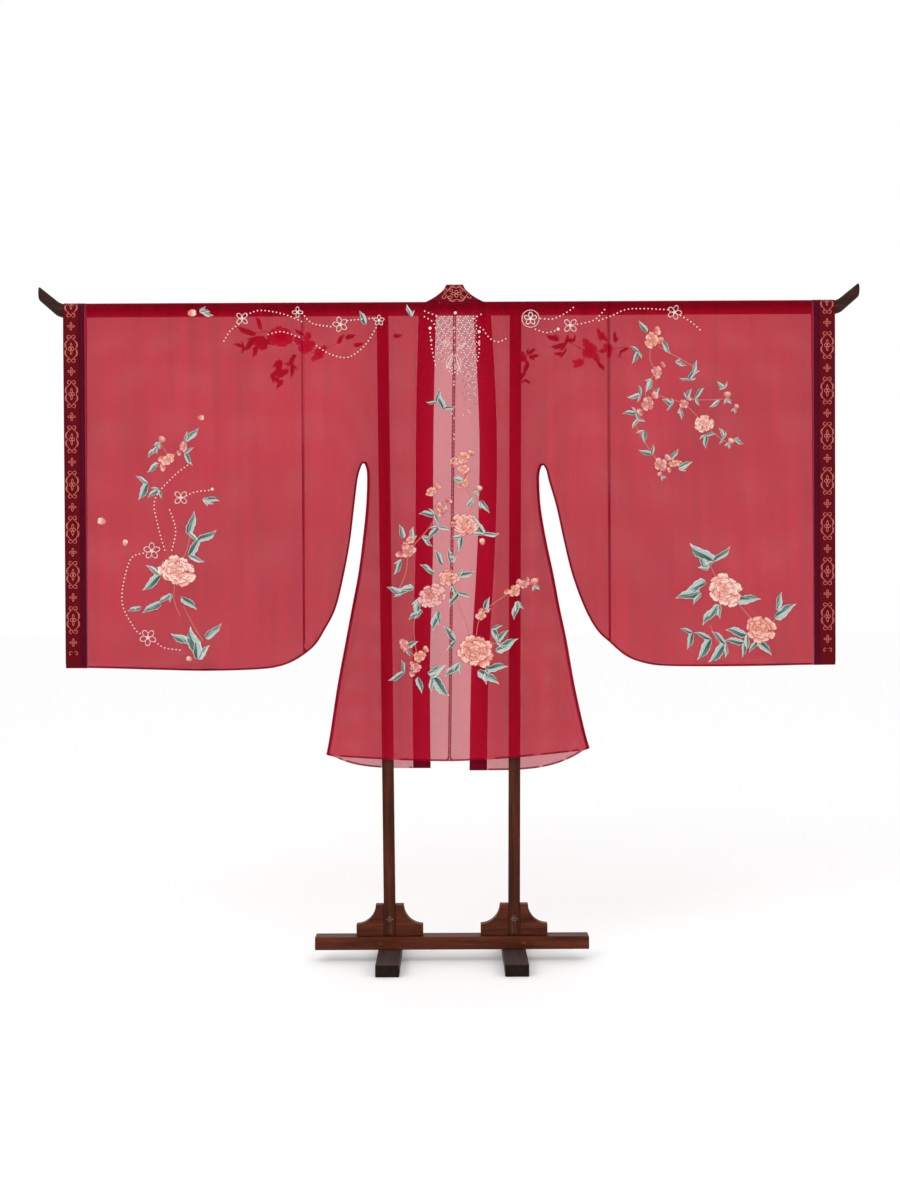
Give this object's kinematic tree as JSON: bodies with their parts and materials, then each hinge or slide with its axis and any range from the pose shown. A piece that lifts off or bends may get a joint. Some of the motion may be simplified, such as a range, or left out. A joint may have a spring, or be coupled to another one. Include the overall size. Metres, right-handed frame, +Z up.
{
  "type": "hanfu robe on a wooden garment stand",
  "caption": "Sheer crimson open-front robe with wide sleeves, brocade cuffs and a long front band, hung over the upturned pole of a dark wooden garment stand.",
  "frame": {"origin": "on the floor, under the middle of the stand's box", "axes": "+X along the pole to the right in the picture, +Y from the robe's back, which faces the camera, to its open fronts, +Z up"},
  "size_m": [2.212, 0.4, 1.8216],
  "materials": {
    "wood": "dark stained hardwood, satin",
    "gauze": "sheer crimson silk organza, plain weave",
    "brocade": "dark red brocade with gold and orange medallions",
    "plum_trim": "dark plum satin strip",
    "band": "doubled crimson silk band"
  },
  "bodies": {
    "root": {"foot_left": "wood", "foot_right": "wood", "stretcher": "wood", "post_left": "wood", "post_right": "wood", "pole": "wood", "bracket_left_outer": "wood", "bracket_left_inner": "wood", "bracket_right_inner": "wood", "bracket_right_outer": "wood", "body_left": "gauze", "body_right": "gauze", "sleeve_left": "gauze", "sleeve_right": "gauze", "cuff_brocade_left": "brocade", "cuff_brocade_right": "brocade", "cuff_trim_left": "plum_trim", "cuff_trim_right": "plum_trim", "collar_band": "band"}
  },
  "joints": []
}
